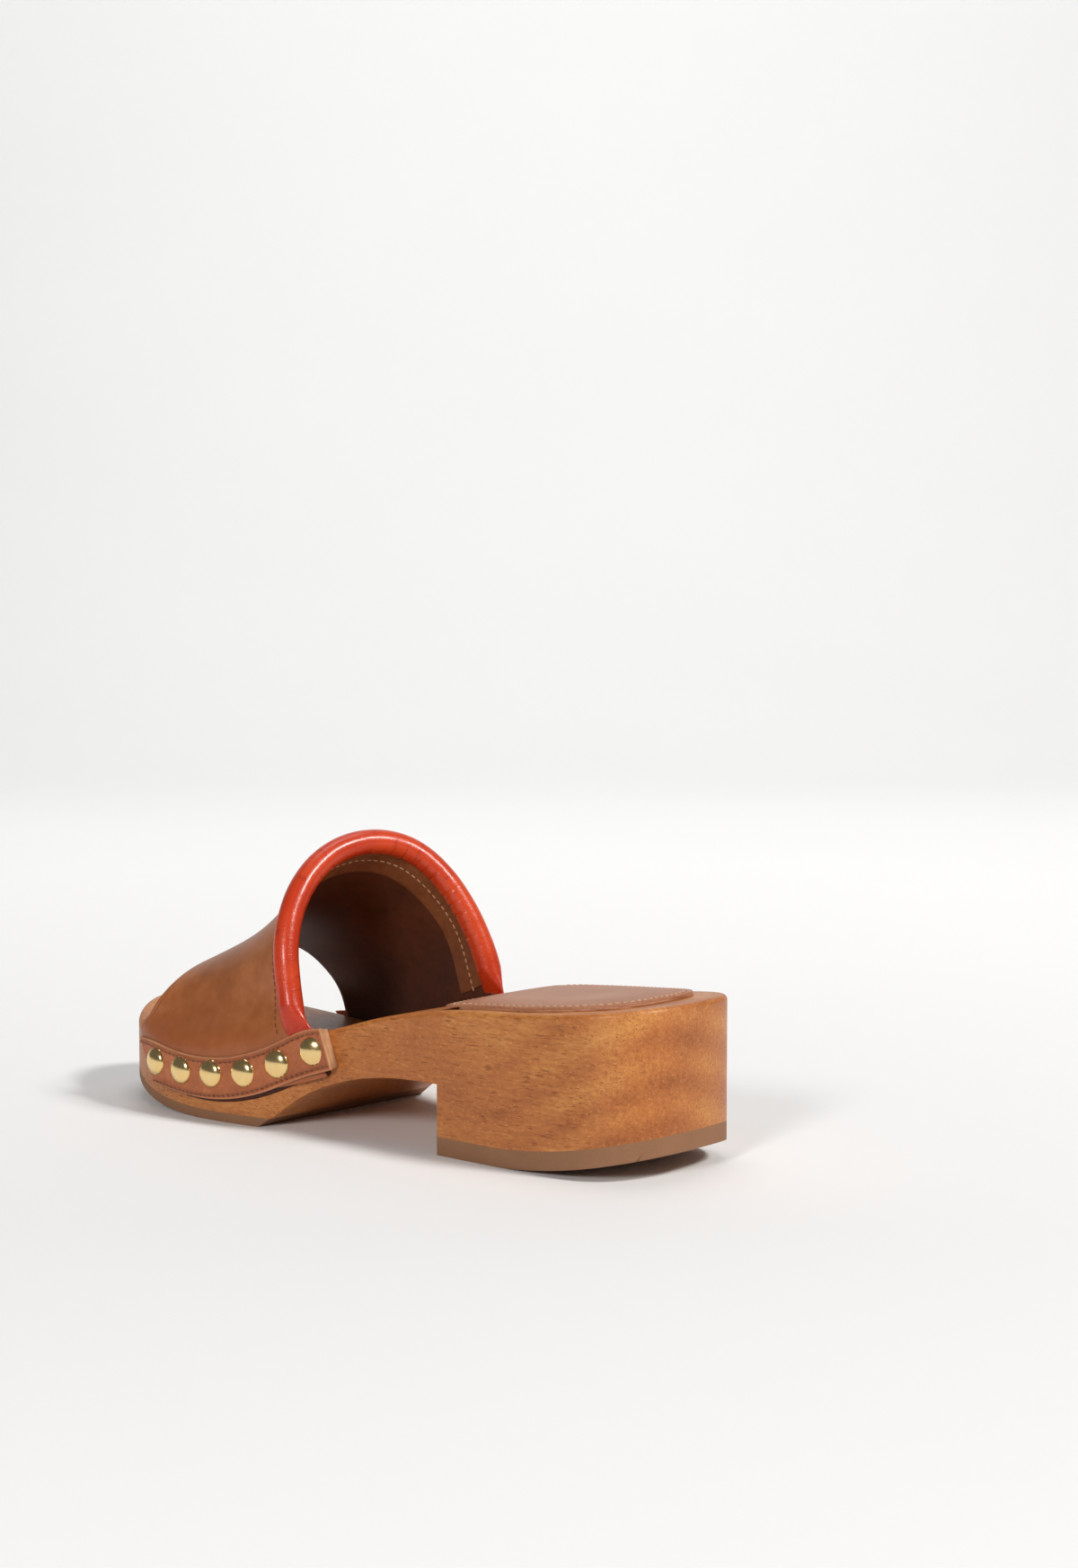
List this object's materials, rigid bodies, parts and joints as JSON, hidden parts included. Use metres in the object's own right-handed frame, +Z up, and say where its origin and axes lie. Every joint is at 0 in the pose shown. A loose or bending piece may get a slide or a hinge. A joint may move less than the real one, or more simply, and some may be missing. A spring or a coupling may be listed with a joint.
{
  "type": "open-toe wooden clog",
  "caption": "Left open-toe wooden clog: wooden sole with a block heel, leather vamp nailed on with brass studs, padded roll round the foot opening, and a padded leather heel seat.",
  "frame": {"origin": "middle of the flat tread under the heel, on the floor", "axes": "+Z up, +Y along the sole to the toe, -X the outer (lateral) side of this left clog"},
  "size_m": [0.0993, 0.2496, 0.0975],
  "materials": {
    "wood": "stained, satin",
    "rubber": "matte tan",
    "vamp_leather": "smooth, burnished",
    "lining_leather": "smooth, matte",
    "strip_leather": "vegetable tanned, matte",
    "roll_leather": "glossy red-orange",
    "pad_leather": "soft, satin tan",
    "foam": "foam",
    "brass": "polished",
    "steel": "wire nail"
  },
  "bodies": {
    "root": {"wooden_sole": "wood", "heel_top_lift": "rubber", "forefoot_outsole": "rubber", "heel_lift_nails": "steel", "outsole_nails": "steel", "vamp_outer": "vamp_leather", "vamp_lining": "lining_leather", "topline_facing": "lining_leather", "topline_roll_cover": "roll_leather", "topline_foam_core": "foam", "lateral_strip": "strip_leather", "medial_strip": "strip_leather", "lateral_studs": "brass", "medial_studs": "brass", "heel_pad_base": "pad_leather", "heel_pad_foam": "foam", "heel_pad_cover": "pad_leather"}
  },
  "joints": []
}
